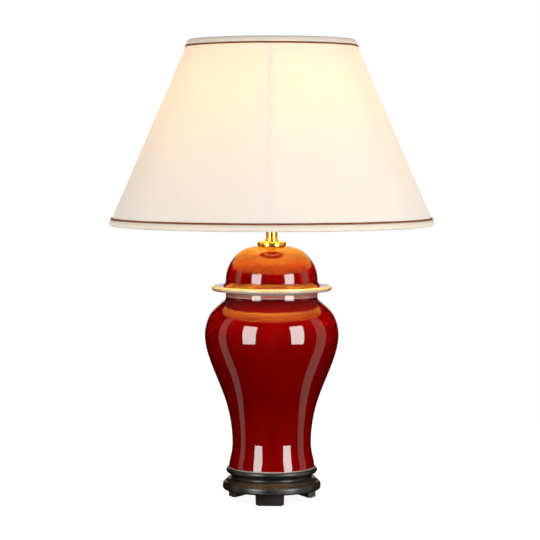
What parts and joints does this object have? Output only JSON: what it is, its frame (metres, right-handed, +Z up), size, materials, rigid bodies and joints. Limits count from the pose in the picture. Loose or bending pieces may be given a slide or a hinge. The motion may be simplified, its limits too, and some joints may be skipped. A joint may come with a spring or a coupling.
{
  "type": "table lamp",
  "caption": "Table lamp with a red glazed lidded ginger jar body on a dark wooden footed stand, brass stem and a lined conical fabric shade.",
  "frame": {"origin": "on the lamp's vertical axis, at the plane that the feet stand on", "axes": "+Z up the stem; -Y towards the front foot; +X to the right seen from the front; the cord inlet is at +Y"},
  "size_m": [0.4574, 0.4574, 0.6489],
  "materials": {
    "stand_wood": "dark polished wood, rubbed brown on its edges",
    "felt": "thin dark felt",
    "steel": "bright zinc plated steel",
    "inlet_black": "black moulded bush",
    "glaze": "deep oxblood red glaze, high gloss, bare pale body at the rims",
    "brass": "polished lacquered brass",
    "holder_brass": "satin brass",
    "core_ceramic": "white insulating ceramic",
    "contact_brass": "bare pressed brass",
    "switch_plastic": "dark moulded plastic",
    "bulb_metal": "bright pressed shell",
    "bulb_black": "black vitrite insulator",
    "bulb_glass": "thin clear glass",
    "filament": "warm glowing filament",
    "shade_wire": "cream coated steel wire",
    "shade_cloth": "cream stretched cloth",
    "shade_lining": "pale cream lining",
    "trim": "cream folded binding",
    "piping": "rust brown piping cord"
  },
  "bodies": {
    "root": {"foot_front": "stand_wood", "foot_left": "stand_wood", "foot_right": "stand_wood", "foot_pads": "felt", "stand_base_ring": "stand_wood", "stand_rim": "stand_wood", "base_cover": "felt", "cover_screws": "steel", "cord_bush": "inlet_black", "jar_body": "glaze", "jar_lid": "glaze", "threaded_rod": "steel", "rod_washer": "steel", "lock_washer": "steel", "rod_nut": "steel", "cap_washer": "felt", "vase_cap": "brass", "neck_tube": "brass", "holder_cup": "holder_brass", "holder_core": "core_ceramic", "terminal_screws": "contact_brass", "holder_sleeve": "holder_brass", "screw_contact": "contact_brass", "centre_contact": "contact_brass", "shade_ring": "holder_brass"},
    "switch": {"switch_bar": "switch_plastic"},
    "bulb_cap": {"bulb_tip": "bulb_metal", "bulb_insulator": "bulb_black", "bulb_screw_shell": "bulb_metal"},
    "bulb": {"bulb_glass": "bulb_glass", "bulb_stem": "bulb_glass", "bulb_filaments": "filament"},
    "carrier": {"carrier_base_ring": "shade_wire", "carrier_arm_left": "shade_wire", "carrier_arm_right": "shade_wire", "carrier_top_ring": "shade_wire"},
    "shade": {"frame_top_ring": "shade_wire", "frame_bottom_ring": "shade_wire", "frame_struts": "shade_wire", "fitting_ring": "shade_wire", "fitting_arms": "shade_wire", "shade_fabric": "shade_cloth", "shade_lining": "shade_lining", "bottom_binding": "trim", "top_binding": "trim", "bottom_piping": "piping", "top_piping": "piping"}
  },
  "joints": [
    {"name": "carrier_turn", "type": "hinge", "parent": "root", "child": "carrier", "pos_m": [0, 0, 0.467], "axis": [0, 0, 1], "continuous": true},
    {"name": "shade_lift", "type": "slide", "parent": "carrier", "child": "shade", "axis": [0, 0, 1], "range_m": [0, 0.24]},
    {"name": "bulb_rise", "type": "slide", "parent": "root", "child": "bulb_cap", "axis": [0, 0, 1], "range_m": [0, 0.0185]},
    {"name": "bulb_turn", "type": "hinge", "parent": "bulb_cap", "child": "bulb", "pos_m": [0, 0, 0.49], "axis": [0, 0, 1], "range_deg": [0, 1800]},
    {"name": "switch_push", "type": "slide", "parent": "root", "child": "switch", "axis": [1, 0, 0], "range_m": [-0.006, 0]}
  ],
  "couplings": [
    {"joint": "bulb_rise", "follows": "bulb_turn", "m_per_rad": 0.00057773}
  ]
}
